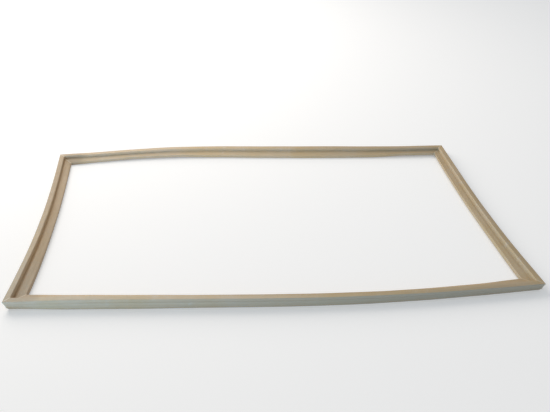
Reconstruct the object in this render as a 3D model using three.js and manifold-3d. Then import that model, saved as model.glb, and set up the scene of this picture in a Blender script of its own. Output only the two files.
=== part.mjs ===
// Refrigerator door gasket: four lengths of soft PVC profile welded at the corners into one frame,
// with a flexible magnet strip in the pocket of each side. Millimetres, +Z up.
// It lies magnet face up, as it lies before its dart is pressed into the groove of a door.
// The origin is the centre of its bounding box, on the surface that it lies on.

import * as THREE from "three";
import { mergeVertices } from "three/addons/utils/BufferGeometryUtils.js";
import Module from "manifold-3d";

const wasm = await Module();
wasm.setup();

// Frame, from corner to corner along the outer edge of the magnet face
const SEAL_LENGTH = 1080;
const SEAL_WIDTH = 565;

// Free shape of the soft sides: how far each stands out of the straight line between its corners.
// A bow is one half wave, a sway two half waves and a ripple three, and a minus sign goes inwards.
const NEAR_BOW = 19.5;
const NEAR_SWAY = -4;
const RIGHT_BOW = -9.5;
const RIGHT_SWAY = -1;
const FAR_BOW = 20.5;
const FAR_SWAY = -10;
const FAR_RIPPLE = 1.5;
const LEFT_BOW = -13.5;
const LEFT_SWAY = 1;

// Magnet strips and the pocket that holds them
const MAGNET_WIDTH = 9.6;
const MAGNET_THICKNESS = 3.2;
const MAGNET_CLEARANCE = 0.35;
const MAGNET_END_GAP = 14;
const POCKET_WALL = 0.7;
const POCKET_EDGE_RADIUS = 0.7;
const SKIRT_FLARE = 1.6;
const SKIRT_THICKNESS = 1;

// Bellows between the pocket and the base web
const SKIN = 0.8;
const BELLOWS_HEIGHT = 7.9;
const OUTER_FOLD_DEPTH = 2.2;
const OUTER_FOLD_RISE_SHARE = 0.67;
const INNER_FOLD_DEPTH = 1.8;
const WEB_BULGE = 0.2;

// Hollow wing that closes the gap on the inside of the door
const WING_WIDTH = 17.4;
const WING_ROOT_STEP = 1.9;
const WING_ROOT_RISE = 3.5;
const WING_SWELL = 2.6;
const WING_SWELL_SHARE = 0.4;
const WING_EDGE_RADIUS = 1.8;

// Base web with its arrow dart and its two lips
const WEB_THICKNESS = 1.2;
const DART_HEIGHT = 5.6;
const DART_INSET = 3.8;
const DART_SHANK = 3.4;
const DART_BARB = 6.4;
const DART_BARB_RISE = 3.2;
const DART_BARB_STEP = 0.4;
const DART_TIP = 1.6;
const LIP_THICKNESS = 1.2;
const OUTER_LIP_TUCK = 1.6;
const INNER_LIP_TUCK = 0.8;

// Air vents, out of sight on the underside and in the pocket floor
const VENT_DIAMETER = 3;
const VENT_SIDES = 12;
const VENT_OVERCUT = 1;

// Facets
const LONG_SIDE_STEPS = 14;
const SHORT_SIDE_STEPS = 8;
const CURVE_STEPS = 2;
const WING_STEPS = 4;

// Heights of the section above the surface that the gasket lies on
const WEB_TOP = DART_HEIGHT + WEB_THICKNESS;
const POCKET_BASE = WEB_TOP + BELLOWS_HEIGHT;
const POCKET_HEIGHT = MAGNET_THICKNESS + 2 * (MAGNET_CLEARANCE + POCKET_WALL);
const CREST = POCKET_BASE + POCKET_HEIGHT;
const OUTER_FOLD_HEIGHT = WEB_TOP + BELLOWS_HEIGHT * OUTER_FOLD_RISE_SHARE;
const WING_ROOT_HEIGHT = WEB_TOP + WING_ROOT_RISE;
const INNER_FOLD_HEIGHT = (WING_ROOT_HEIGHT + POCKET_BASE) / 2;

// Widths of the section, inwards from the outer edge of the magnet face
const POCKET_WIDTH = MAGNET_WIDTH + 2 * (MAGNET_CLEARANCE + POCKET_WALL);
const SKIRT_EDGE = POCKET_WIDTH + SKIRT_FLARE;
const SKIRT_ROOT = SKIRT_EDGE - SKIRT_THICKNESS;
const WING_ROOT = POCKET_WIDTH + WING_ROOT_STEP;
const SECTION_WIDTH = WING_ROOT + WING_WIDTH;
const DART_CENTRE = WING_ROOT + DART_INSET;
const MITRE_TO_MAGNET = POCKET_WIDTH + MAGNET_END_GAP;

const point = (inwards, height) => new THREE.Vector2(inwards, height);

const PVC = new THREE.MeshStandardMaterial({ color: 0xd8cbb0, roughness: 0.5, metalness: 0 });
const MAGNET = new THREE.MeshStandardMaterial({ color: 0x3a3532, roughness: 0.75, metalness: 0.1 });

// Turning points of the section that both its skin and its chambers follow
const outerWall = {
  bulge: point(-WEB_BULGE, DART_HEIGHT),
  fold: point(OUTER_FOLD_DEPTH, OUTER_FOLD_HEIGHT),
  pocket: point(0, POCKET_BASE),
};
const innerWall = {
  pocket: point(SKIRT_ROOT, POCKET_BASE),
  fold: point(SKIRT_ROOT - INNER_FOLD_DEPTH, INNER_FOLD_HEIGHT),
  wing: point(WING_ROOT, WING_ROOT_HEIGHT),
};
const wingEdge = point(SECTION_WIDTH, WEB_TOP);
const wingTop = new THREE.QuadraticBezierCurve(
  innerWall.wing,
  innerWall.wing.clone().lerp(wingEdge, WING_SWELL_SHARE).add(point(0, WING_SWELL)),
  wingEdge,
).getPoints(WING_STEPS);

// One half of the dart from its root to its tip, on the side that the sign gives.
function dartFlank(sign) {
  return [
    point(DART_CENTRE + (sign * DART_SHANK) / 2, DART_HEIGHT),
    point(DART_CENTRE + (sign * DART_SHANK) / 2, DART_BARB_RISE + DART_BARB_STEP),
    point(DART_CENTRE + (sign * DART_BARB) / 2, DART_BARB_RISE),
    point(DART_CENTRE + (sign * DART_TIP) / 2, 0),
  ];
}

// Outline of the PVC section, counterclockwise with inwards to the right and up upwards.
function skinOutline() {
  const outerLip = OUTER_LIP_TUCK + LIP_THICKNESS;
  const innerFoot = SECTION_WIDTH - INNER_LIP_TUCK;
  const innerLip = innerFoot - LIP_THICKNESS;
  const radius = POCKET_EDGE_RADIUS;
  const path = new THREE.Path();
  path.moveTo(OUTER_LIP_TUCK, 0);
  path.lineTo(outerLip, 0);
  path.lineTo(outerLip, DART_HEIGHT - LIP_THICKNESS);
  path.lineTo(outerLip + LIP_THICKNESS, DART_HEIGHT);
  for (const corner of dartFlank(-1)) path.lineTo(corner.x, corner.y);
  for (const corner of dartFlank(1).reverse()) path.lineTo(corner.x, corner.y);
  path.lineTo(innerLip - LIP_THICKNESS, DART_HEIGHT);
  path.lineTo(innerLip, DART_HEIGHT - LIP_THICKNESS);
  path.lineTo(innerLip, 0);
  path.lineTo(innerFoot, 0);
  path.lineTo(SECTION_WIDTH, WEB_TOP - WING_EDGE_RADIUS);
  const roof = wingTop.slice(0, -1).reverse();
  const slope = roof[0].clone().sub(wingEdge).setLength(WING_EDGE_RADIUS).add(wingEdge);
  path.quadraticCurveTo(wingEdge.x, wingEdge.y, slope.x, slope.y);
  for (const corner of roof) path.lineTo(corner.x, corner.y);
  path.lineTo(innerWall.fold.x, innerWall.fold.y);
  path.lineTo(innerWall.pocket.x, innerWall.pocket.y);
  path.lineTo(SKIRT_EDGE, POCKET_BASE + SKIRT_THICKNESS / 2);
  path.lineTo(POCKET_WIDTH, CREST - radius);
  path.quadraticCurveTo(POCKET_WIDTH, CREST, POCKET_WIDTH - radius, CREST);
  path.lineTo(radius, CREST);
  path.quadraticCurveTo(0, CREST, 0, CREST - radius);
  path.lineTo(outerWall.pocket.x, outerWall.pocket.y);
  path.lineTo(outerWall.fold.x, outerWall.fold.y);
  path.lineTo(outerWall.bulge.x, outerWall.bulge.y);
  path.quadraticCurveTo(outerWall.bulge.x, DART_HEIGHT / 2, OUTER_LIP_TUCK, 0);
  return path.getPoints(CURVE_STEPS).slice(0, -1);
}

// Corners of a counterclockwise outline once each edge has moved inwards by its own wall thickness.
function inset(corners, walls) {
  const edges = corners.map((corner, i) => {
    const direction = corners[(i + 1) % corners.length].clone().sub(corner).normalize();
    const normal = point(-direction.y, direction.x);
    return { start: corner.clone().addScaledVector(normal, walls[i]), direction };
  });
  return edges.map((edge, i) => {
    const before = edges.at(i - 1);
    const gap = edge.start.clone().sub(before.start);
    const along = gap.cross(edge.direction) / before.direction.cross(edge.direction);
    return before.start.clone().addScaledVector(before.direction, along);
  });
}

function pocketChamber() {
  const far = POCKET_WIDTH - POCKET_WALL;
  const low = POCKET_BASE + POCKET_WALL;
  const high = CREST - POCKET_WALL;
  return [point(POCKET_WALL, low), point(far, low), point(far, high), point(POCKET_WALL, high)];
}

function bellowsChamber() {
  const { bulge, fold, pocket } = outerWall;
  const share = (WEB_TOP - bulge.y) / (fold.y - bulge.y);
  const corners = [
    bulge.clone().lerp(fold, share),
    point(WING_ROOT, WEB_TOP),
    innerWall.wing,
    innerWall.fold,
    innerWall.pocket,
    pocket,
    fold,
  ];
  return inset(corners, [0, SKIN / 2, SKIN, SKIN, 0, SKIN, SKIN]);
}

function wingChamber() {
  const roof = wingTop.toReversed();
  const walls = [0, ...roof.slice(1).map(() => SKIN), SKIN / 2];
  return inset([point(WING_ROOT, WEB_TOP), ...roof], walls);
}

function magnetSection() {
  const low = POCKET_BASE + POCKET_WALL + MAGNET_CLEARANCE;
  const near = POCKET_WALL + MAGNET_CLEARANCE;
  const far = near + MAGNET_WIDTH;
  const high = low + MAGNET_THICKNESS;
  return [point(near, low), point(far, low), point(far, high), point(near, high)];
}

// Stations of one side on the outer edge of the magnet face, from its first corner to its last.
function sideStations(from, to, steps, waves) {
  const run = to.clone().sub(from);
  const outwards = point(run.y, -run.x).normalize();
  return Array.from({ length: steps + 1 }, (_, i) => {
    const share = i / steps;
    const stand = waves.reduce((sum, wave, k) => sum + wave * Math.sin((k + 1) * Math.PI * share), 0);
    return from.clone().addScaledVector(run, share).addScaledVector(outwards, stand);
  });
}

// The four sides, counterclockwise seen from above.
const corners = [
  point(-SEAL_LENGTH / 2, -SEAL_WIDTH / 2),
  point(SEAL_LENGTH / 2, -SEAL_WIDTH / 2),
  point(SEAL_LENGTH / 2, SEAL_WIDTH / 2),
  point(-SEAL_LENGTH / 2, SEAL_WIDTH / 2),
];
const sides = {
  near: sideStations(corners[0], corners[1], LONG_SIDE_STEPS, [NEAR_BOW, NEAR_SWAY]),
  right: sideStations(corners[1], corners[2], SHORT_SIDE_STEPS, [RIGHT_BOW, RIGHT_SWAY]),
  far: sideStations(corners[2], corners[3], LONG_SIDE_STEPS, [FAR_BOW, FAR_SWAY, FAR_RIPPLE]),
  left: sideStations(corners[3], corners[0], SHORT_SIDE_STEPS, [LEFT_BOW, LEFT_SWAY]),
};

function inwardNormal(from, to) {
  const run = to.clone().sub(from).normalize();
  return point(-run.y, run.x);
}

// Direction in which a section point moves inwards at a station, longer where the path bends.
function mitre(before, station, after) {
  const first = before ? inwardNormal(before, station) : inwardNormal(station, after);
  const second = after ? inwardNormal(station, after) : first;
  return first.clone().add(second).divideScalar(1 + first.dot(second));
}

// Solid made by carrying a section along stations, closed into a loop or ended with flat caps.
function sweep(stations, section, closed) {
  const count = stations.length;
  const size = section.length;
  const positions = [];
  stations.forEach((station, i) => {
    const before = closed ? stations.at(i - 1) : stations[i - 1];
    const after = closed ? stations[(i + 1) % count] : stations[i + 1];
    const inwards = mitre(before, station, after);
    for (const { x, y } of section) {
      positions.push(station.x + inwards.x * x, station.y + inwards.y * x, y);
    }
  });
  const triangles = [];
  for (let i = 0; i < (closed ? count : count - 1); i++) {
    const here = i * size;
    const next = ((i + 1) % count) * size;
    for (let j = 0; j < size; j++) {
      const up = (j + 1) % size;
      triangles.push(here + j, here + up, next + up);
      triangles.push(here + j, next + up, next + j);
    }
  }
  if (!closed) {
    const last = (count - 1) * size;
    for (const [a, b, c] of THREE.ShapeUtils.triangulateShape(section, [])) {
      triangles.push(a, c, b);
      triangles.push(last + a, last + b, last + c);
    }
  }
  const geometry = new THREE.BufferGeometry();
  geometry.setAttribute("position", new THREE.Float32BufferAttribute(positions, 3));
  geometry.setIndex(triangles);
  return geometry;
}

// Place on a side at a distance from its first corner, with the inward normal there.
function placeOn(stations, distance) {
  let left = distance;
  for (let i = 0; i + 1 < stations.length; i++) {
    const step = stations[i].distanceTo(stations[i + 1]);
    if (left <= step) {
      const spot = stations[i].clone().lerp(stations[i + 1], left / step);
      return { spot, inwards: inwardNormal(stations[i], stations[i + 1]), index: i };
    }
    left -= step;
  }
  throw new Error("the distance is longer than the side");
}

function sideLength(stations) {
  return stations.slice(1).reduce((sum, station, i) => sum + station.distanceTo(stations[i]), 0);
}

function toSolid(geometry) {
  const bare = geometry.clone();
  bare.deleteAttribute("normal");
  bare.deleteAttribute("uv");
  const merged = mergeVertices(bare);
  const vertProperties = merged.getAttribute("position").array;
  const triVerts = new Uint32Array(merged.index.array);
  return new wasm.Manifold(new wasm.Mesh({ numProp: 3, vertProperties, triVerts }));
}

function toGeometry(solid) {
  const { vertProperties, triVerts } = solid.getMesh();
  const geometry = new THREE.BufferGeometry();
  geometry.setAttribute("position", new THREE.BufferAttribute(vertProperties, 3));
  geometry.setIndex(new THREE.BufferAttribute(triVerts, 1));
  geometry.computeVertexNormals();
  return geometry;
}

// Upright cylinder that cuts one vent through a floor, at a distance along a side and a depth inwards.
function ventCutter(stations, distance, depth, floor, thickness) {
  const { spot, inwards } = placeOn(stations, distance);
  const centre = spot.clone().addScaledVector(inwards, depth);
  const height = thickness + 2 * VENT_OVERCUT;
  const cutter = new THREE.CylinderGeometry(VENT_DIAMETER / 2, VENT_DIAMETER / 2, height, VENT_SIDES);
  cutter.rotateX(Math.PI / 2);
  cutter.translate(centre.x, centre.y, floor + thickness / 2);
  return toSolid(cutter);
}

// The welded PVC frame: one skin around the magnet pocket, the bellows chamber and the wing chamber.
function sealFrame() {
  const loop = Object.values(sides).flatMap((stations) => stations.slice(0, -1));
  let frame = toSolid(sweep(loop, skinOutline(), true));
  for (const chamber of [pocketChamber(), bellowsChamber(), wingChamber()]) {
    frame = frame.subtract(toSolid(sweep(loop, chamber, true)));
  }
  const bellowsVent = POCKET_WIDTH / 2;
  const wingVent = WING_ROOT + WING_WIDTH / 2;
  for (const stations of Object.values(sides)) {
    const middle = sideLength(stations) / 2;
    const nearMitre = MITRE_TO_MAGNET - MAGNET_END_GAP / 2;
    const cutters = [
      ventCutter(stations, nearMitre, bellowsVent, POCKET_BASE, POCKET_WALL),
      ventCutter(stations, middle, bellowsVent, DART_HEIGHT, WEB_THICKNESS),
      ventCutter(stations, middle, wingVent, DART_HEIGHT, WEB_THICKNESS),
    ];
    for (const cutter of cutters) frame = frame.subtract(cutter);
  }
  const mesh = new THREE.Mesh(toGeometry(frame), PVC);
  mesh.name = "seal_frame";
  return mesh;
}

// A magnet strip follows the pocket of its side and stops short of the welded mitres.
function magnetStrip(name, stations) {
  const start = placeOn(stations, MITRE_TO_MAGNET);
  const end = placeOn(stations, sideLength(stations) - MITRE_TO_MAGNET);
  const between = stations.slice(start.index + 1, end.index + 1);
  const strip = sweep([start.spot, ...between, end.spot], magnetSection(), false);
  const mesh = new THREE.Mesh(toGeometry(toSolid(strip)), MAGNET);
  mesh.name = `magnet_strip_${name}`;
  return mesh;
}

const gasket = new THREE.Group();
gasket.add(sealFrame());
for (const [name, stations] of Object.entries(sides)) gasket.add(magnetStrip(name, stations));

const box = new THREE.Box3().setFromObject(gasket);
const centre = box.getCenter(new THREE.Vector3());
gasket.position.set(-centre.x, -centre.y, -box.min.z);

export default gasket;
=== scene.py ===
"""Refrigerator door gasket: a soft cream PVC frame with magnet strips, magnet face up on a pale floor."""

import logging
import math
from dataclasses import dataclass, replace
from enum import Enum
from typing import Any

import bmesh
import bpy
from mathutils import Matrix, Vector


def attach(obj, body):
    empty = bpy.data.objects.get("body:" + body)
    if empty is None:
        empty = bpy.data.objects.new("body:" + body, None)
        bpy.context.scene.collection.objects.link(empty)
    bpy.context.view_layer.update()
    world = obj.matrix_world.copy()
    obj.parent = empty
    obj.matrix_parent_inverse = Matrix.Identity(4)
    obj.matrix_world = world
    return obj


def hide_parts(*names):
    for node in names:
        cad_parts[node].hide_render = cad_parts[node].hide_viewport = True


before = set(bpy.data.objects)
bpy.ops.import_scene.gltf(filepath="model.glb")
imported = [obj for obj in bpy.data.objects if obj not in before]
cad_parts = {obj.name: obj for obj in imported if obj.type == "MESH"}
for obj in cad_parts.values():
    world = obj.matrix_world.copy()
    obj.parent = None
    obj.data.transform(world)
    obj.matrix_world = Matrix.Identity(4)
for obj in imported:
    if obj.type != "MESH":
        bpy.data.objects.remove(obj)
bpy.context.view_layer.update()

log = logging.getLogger("gasket")

MM = 0.001
BODY = "root"
STRAIGHT = 0.01
PARALLEL = 1e-6
FILLET_SHARE = 0.49
NODE_COLUMNS = 12
NODE_STEP = (220, 260)

Triple = tuple[float, float, float]
Piece = bpy.types.Object
Socket = bpy.types.NodeSocket


class Slot(Enum):
    """The material slots."""

    PVC = "pvc"
    MAGNET = "magnet"


@dataclass(frozen=True)
class SideShape:
    """Free shape of one soft side, in millimetres and degrees.

    The waves say how far the side stands out of the straight line between its corners: a bow is one half
    wave, a sway two half waves and a ripple three. The other values stand at even steps from the side's
    first corner to its last: how far the foot stands inwards of the magnet face, how far the face is raised,
    how far it is turned outwards, how far the inner lip is off the floor and tucked in under the wing, and
    how far the outer fold is pulled straight, as a share of its depth.
    """

    waves: tuple[float, ...]
    feet: tuple[float, ...] = (0.0,)
    drops: tuple[float, ...] = (0.0, 0.0)
    tilts: tuple[float, ...] = (0.0, 0.0)
    curls: tuple[float, ...] = (0.0, 0.0)
    tucks: tuple[float, ...] = (0.0, 0.0)
    pulls: tuple[float, ...] = (0.0, 0.0)


@dataclass(frozen=True)
class Station:
    """One place on the frame's path, in millimetres and radians, which carries one ring of the section."""

    side: int
    share: float
    spot: Vector
    mitre: Vector
    foot: Vector
    drop: float
    tilt: float
    curl: float
    tuck: float
    pull: float
    weld: float
    strip: float


def smooth_between(values: tuple[Any, ...], share: float) -> Any:
    """Eases from each of the values to the next.

    Args:
        values: numbers or vectors at even steps.
        share: the place between the first value, 0, and the last, 1.

    Returns:
        The value at that place.
    """
    place = min(max(share, 0.0), 1.0) * (len(values) - 1)
    first = min(int(place), len(values) - 2)
    t = place - first
    return values[first] + (values[first + 1] - values[first]) * (t * t * (3 - 2 * t))


def smooth_step(value: float, low: float, high: float) -> float:
    """Rises smoothly from 0 at the low value to 1 at the high one."""
    t = min(max((value - low) / (high - low), 0.0), 1.0)
    return t * t * (3 - 2 * t)


@dataclass(frozen=True)
class Fillet:
    """A turning point of an outline with the radius of its rounding, in millimetres."""

    inwards: float
    height: float
    radius: float = 0.0


def rounded(turns: list[Fillet], steps: int) -> list[Vector]:
    """Rounds a closed outline at its turning points.

    Args:
        turns: the turning points, counterclockwise.
        steps: how many chords a rounding of a right angle has.

    Returns:
        The points of the rounded outline.
    """
    points: list[Vector] = []
    for i, turn in enumerate(turns):
        here = Vector((turn.inwards, turn.height))
        before = Vector((turns[i - 1].inwards, turns[i - 1].height))
        after_turn = turns[(i + 1) % len(turns)]
        after = Vector((after_turn.inwards, after_turn.height))
        back, ahead = (before - here), (after - here)
        bend = math.pi - back.angle(ahead)
        if turn.radius <= 0 or bend < STRAIGHT:
            points.append(here)
            continue
        reach = turn.radius * math.tan(bend / 2)
        reach = min(reach, FILLET_SHARE * back.length, FILLET_SHARE * ahead.length)
        start, end = here + back.normalized() * reach, here + ahead.normalized() * reach
        count = max(2, round(steps * bend / (math.pi / 2)) + 1)
        for k in range(count + 1):
            t = k / count
            points.append(start * (1 - t) ** 2 + here * 2 * t * (1 - t) + end * t * t)
    return points


def inset(corners: list[tuple[float, float]], distances: list[float], radius: float) -> list[Fillet]:
    """Moves every edge of a counterclockwise outline inwards.

    Args:
        corners: the outline's corners.
        distances: how far the edge after each corner moves.
        radius: the rounding of the new corners.

    Returns:
        The corners of the smaller outline.
    """
    points = [Vector(corner) for corner in corners]
    runs = [(after - here).normalized() for here, after in zip(points, points[1:] + points[:1])]
    starts = [p + Vector((-run.y, run.x)) * d for p, run, d in zip(points, runs, distances)]
    turns = []
    for i, run in enumerate(runs):
        before, gap, spot = runs[i - 1], starts[i] - starts[i - 1], starts[i]
        cross = before.x * run.y - before.y * run.x
        if abs(cross) >= PARALLEL:
            spot = starts[i - 1] + before * ((gap.x * run.y - gap.y * run.x) / cross)
        turns.append(Fillet(spot.x, spot.y, radius))
    return turns


@dataclass(frozen=True)
class Profile:
    """Sizes of the extruded section, in millimetres, inwards from the outer edge of the magnet face."""

    magnet_width: float = 9.6
    magnet_thickness: float = 3.2
    magnet_clearance: float = 0.35
    pocket_wall: float = 0.7
    skirt_flare: float = 1.6
    skirt_thickness: float = 1.0
    skin: float = 0.8
    bellows_height: float = 7.9
    outer_fold_depth: float = 2.2
    outer_fold_share: float = 0.67
    inner_fold_depth: float = 1.1
    web_bulge: float = 0.2
    wing_width: float = 17.4
    wing_root_step: float = 1.9
    wing_root_rise: float = 4.8
    wing_swell: float = 2.2
    wing_swell_share: float = 0.4
    web_thickness: float = 1.2
    dart_height: float = 5.6
    dart_inset: float = 3.8
    dart_shank: float = 3.4
    dart_barb: float = 6.4
    dart_barb_rise: float = 3.2
    dart_barb_step: float = 0.4
    dart_tip: float = 1.6
    lip_thickness: float = 1.2
    outer_lip_tuck: float = 1.6
    inner_lip_tuck: float = 0.8
    edge_radius: float = 0.7
    fold_radius: float = 2.4
    fine_radius: float = 0.35
    wing_radius: float = 2.2
    root_radius: float = 1.0
    crease_radius: float = 0.8
    seat_radius: float = 0.3
    # Strength of the painted shade, with some grime, on the lip line, the underside and the outer fold
    lip_line_shade: float = 1.7
    underside_shade: float = 0.35
    outer_fold_shade: float = 0.8
    wall_facing: tuple[float, float] = (0.3, 0.8)
    round_steps: int = 4
    chamber_steps: int = 2
    wing_steps: int = 10

    @property
    def pocket_width(self) -> float:
        """Width of the magnet face."""
        return self.magnet_width + 2 * (self.magnet_clearance + self.pocket_wall)

    @property
    def pocket_height(self) -> float:
        """Height of the magnet pocket, walls included."""
        return self.magnet_thickness + 2 * (self.magnet_clearance + self.pocket_wall)

    @property
    def web_top(self) -> float:
        """Height of the top of the base web."""
        return self.dart_height + self.web_thickness

    @property
    def pocket_base(self) -> float:
        """Height of the underside of the magnet pocket."""
        return self.web_top + self.bellows_height

    @property
    def crest(self) -> float:
        """Height of the magnet face."""
        return self.pocket_base + self.pocket_height

    @property
    def wing_root(self) -> float:
        """Where the wing starts."""
        return self.pocket_width + self.wing_root_step

    @property
    def width(self) -> float:
        """Width of the whole section."""
        return self.wing_root + self.wing_width

    @property
    def dart_centre(self) -> float:
        """Where the dart stands."""
        return self.wing_root + self.dart_inset

    @property
    def root_height(self) -> float:
        """Height of the wing's root."""
        return self.web_top + self.wing_root_rise

    @property
    def skirt_root(self) -> float:
        """Where the overhanging edge leaves the inner wall."""
        return self.pocket_width + self.skirt_flare - self.skirt_thickness

    @property
    def outer_fold_height(self) -> float:
        """Height of the outer wall's crease."""
        return self.web_top + self.bellows_height * self.outer_fold_share

    @property
    def inner_fold_height(self) -> float:
        """Height of the inner wall's crease."""
        return (self.root_height + self.pocket_base) / 2

    def wing_roof(self) -> list[Fillet]:
        """The swelling top of the wing, from its inner edge back to its root."""
        root = Vector((self.wing_root, self.root_height))
        edge = Vector((self.width, self.web_top))
        swell = root.lerp(edge, self.wing_swell_share) + Vector((0, self.wing_swell))
        turns = []
        for k in range(self.wing_steps + 1):
            t = 1 - k / self.wing_steps
            spot = root * (1 - t) ** 2 + swell * 2 * t * (1 - t) + edge * t * t
            turns.append(Fillet(spot.x, spot.y))
        return turns

    def dart_turns(self) -> list[Fillet]:
        """The arrow dart, from the outer side of its root round its tip to the inner side."""
        half = [
            (self.dart_shank / 2, self.dart_height, self.fine_radius),
            (self.dart_shank / 2, self.dart_barb_rise + self.dart_barb_step, self.fine_radius),
            (self.dart_barb / 2, self.dart_barb_rise, self.fine_radius),
            (self.dart_tip / 2, 0.0, self.fine_radius),
        ]
        outer = [Fillet(self.dart_centre - x, z, r) for x, z, r in half]
        inner = [Fillet(self.dart_centre + x, z, r) for x, z, r in reversed(half)]
        return outer + inner

    def skin_turns(self) -> list[Fillet]:
        """Goes round the outside of the section.

        Returns:
            The turning points, counterclockwise from the outer lip's foot.
        """
        lip, fine = self.lip_thickness, self.fine_radius
        outer_lip = self.outer_lip_tuck + lip
        inner_foot = self.width - self.inner_lip_tuck
        inner_lip = inner_foot - lip
        skirt = self.pocket_width + self.skirt_flare
        return [
            Fillet(self.outer_lip_tuck, 0.0, fine),
            Fillet(outer_lip, 0.0, fine),
            Fillet(outer_lip, self.dart_height - lip, lip),
            Fillet(outer_lip + lip, self.dart_height, lip),
            *self.dart_turns(),
            Fillet(inner_lip - lip, self.dart_height, lip),
            Fillet(inner_lip, self.dart_height - lip, lip),
            Fillet(inner_lip, 0.0, fine),
            Fillet(inner_foot, 0.0, fine),
            Fillet(self.width, self.web_top, self.wing_radius),
            *self.wing_roof()[1:-1],
            Fillet(self.wing_root, self.root_height, self.root_radius),
            Fillet(self.skirt_root - self.inner_fold_depth, self.inner_fold_height, self.crease_radius),
            Fillet(self.skirt_root, self.pocket_base, self.seat_radius),
            Fillet(skirt, self.pocket_base + self.skirt_thickness / 2, fine),
            Fillet(self.pocket_width, self.crest, self.edge_radius),
            Fillet(0.0, self.crest, self.edge_radius),
            Fillet(0.0, self.pocket_base, self.edge_radius),
            Fillet(self.outer_fold_depth, self.outer_fold_height, self.fold_radius),
            Fillet(-self.web_bulge, self.dart_height, self.fold_radius),
        ]

    def skin_outline(self) -> list[Vector]:
        """The rounded outside of the section."""
        return rounded(self.skin_turns(), self.round_steps)

    def box_outline(self, near: float, low: float, width: float, height: float, steps: int) -> list[Vector]:
        """Makes a rectangle with finely rounded corners.

        Args:
            near: its outer edge, inwards of the path.
            low: its lower edge.
            width: its width.
            height: its height.
            steps: how many chords a corner has.

        Returns:
            The points of the rectangle.
        """
        far, high = near + width, low + height
        corners = [(near, low), (far, low), (far, high), (near, high)]
        return rounded([Fillet(x, z, self.fine_radius) for x, z in corners], steps)

    def pocket_outline(self) -> list[Vector]:
        """The inside of the magnet pocket."""
        wall = self.pocket_wall
        width, height = self.pocket_width - 2 * wall, self.pocket_height - 2 * wall
        return self.box_outline(wall, self.pocket_base + wall, width, height, self.chamber_steps)

    def magnet_outline(self) -> list[Vector]:
        """The section of a magnet strip."""
        near = self.pocket_wall + self.magnet_clearance
        width, height = self.magnet_width, self.magnet_thickness
        return self.box_outline(near, self.pocket_base + near, width, height, self.round_steps)

    def bellows_outline(self) -> list[Vector]:
        """Goes round the inside of the soft bellows.

        Returns:
            The rounded outline of the chamber between the web and the magnet pocket.
        """
        slope = (self.outer_fold_height - self.web_top) / (self.outer_fold_height - self.dart_height)
        outer_foot = self.outer_fold_depth - (self.outer_fold_depth + self.web_bulge) * slope
        corners = [
            (outer_foot, self.web_top),
            (self.wing_root, self.web_top),
            (self.wing_root, self.root_height),
            (self.skirt_root - self.inner_fold_depth, self.inner_fold_height),
            (self.skirt_root, self.pocket_base),
            (0.0, self.pocket_base),
            (self.outer_fold_depth, self.outer_fold_height),
        ]
        skin = self.skin
        turns = inset(corners, [0.0, skin / 2, skin, skin, 0.0, skin, skin], self.fine_radius)
        return rounded(turns, self.chamber_steps)

    def wing_outline(self) -> list[Vector]:
        """The inside of the wing."""
        roof = [(turn.inwards, turn.height) for turn in self.wing_roof()]
        distances = [0.0] + [self.skin] * (len(roof) - 1) + [self.skin / 2]
        turns = inset([(self.wing_root, self.web_top), *roof], distances, self.fine_radius)
        return rounded(turns, self.chamber_steps)

    def crest_share(self, spot: Vector) -> float:
        """How far a point of the section follows the magnet face when the bellows give."""
        return smooth_step(spot.y, self.web_top, self.pocket_base)

    def wing_share(self, spot: Vector) -> float:
        """How far a point of the section follows the inner lip when it is off the floor."""
        reach = (spot.x - self.dart_centre) / (self.width - self.dart_centre)
        return max(reach, 0.0) ** 2

    def wall_share(self, spot: Vector, facing: Vector) -> float:
        """How far a point of the section lies on the outer wall, which is painted darker as painted shade."""
        return smooth_step(-facing.x, *self.wall_facing) if spot.x < self.pocket_width / 2 else 0.0

    def outer_slack(self, spot: Vector) -> float:
        """How far a point of the outer fold stands inwards of the straight line from the face to the foot."""
        if spot.x > self.pocket_width / 2 or not self.dart_height < spot.y < self.pocket_base:
            return 0.0
        end = self.pocket_base if spot.y > self.outer_fold_height else self.dart_height
        return self.outer_fold_depth * (spot.y - end) / (self.outer_fold_height - end)

    def fold_share(self, spot: Vector) -> float:
        """Tells how much painted shade, with some grime, darkens a point of the skin.

        Args:
            spot: the point, inwards and up.

        Returns:
            The share of painted shade and grime, most where a fold is deep.
        """
        line_top, depth = self.dart_height + self.fold_radius, self.outer_fold_depth
        if spot.x < self.fold_radius and spot.y < line_top:
            return self.lip_line_shade * smooth_step(line_top - spot.y, 0.0, self.fold_radius / 2)
        if spot.y < self.web_top:
            return self.underside_shade * smooth_step(self.web_top - spot.y, 0.0, self.web_top)
        if spot.x < self.pocket_width / 2:
            off = abs(spot.y - self.outer_fold_height)
            return self.outer_fold_shade * smooth_step(depth - off, 0.0, depth)
        if spot.y >= self.pocket_base + self.skirt_thickness:
            return 0.0
        # Painted shade in the groove under the overhanging edge
        return smooth_step(self.wing_root + self.skirt_flare * 2 - spot.x, 0.0, self.skirt_flare * 2)


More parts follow.
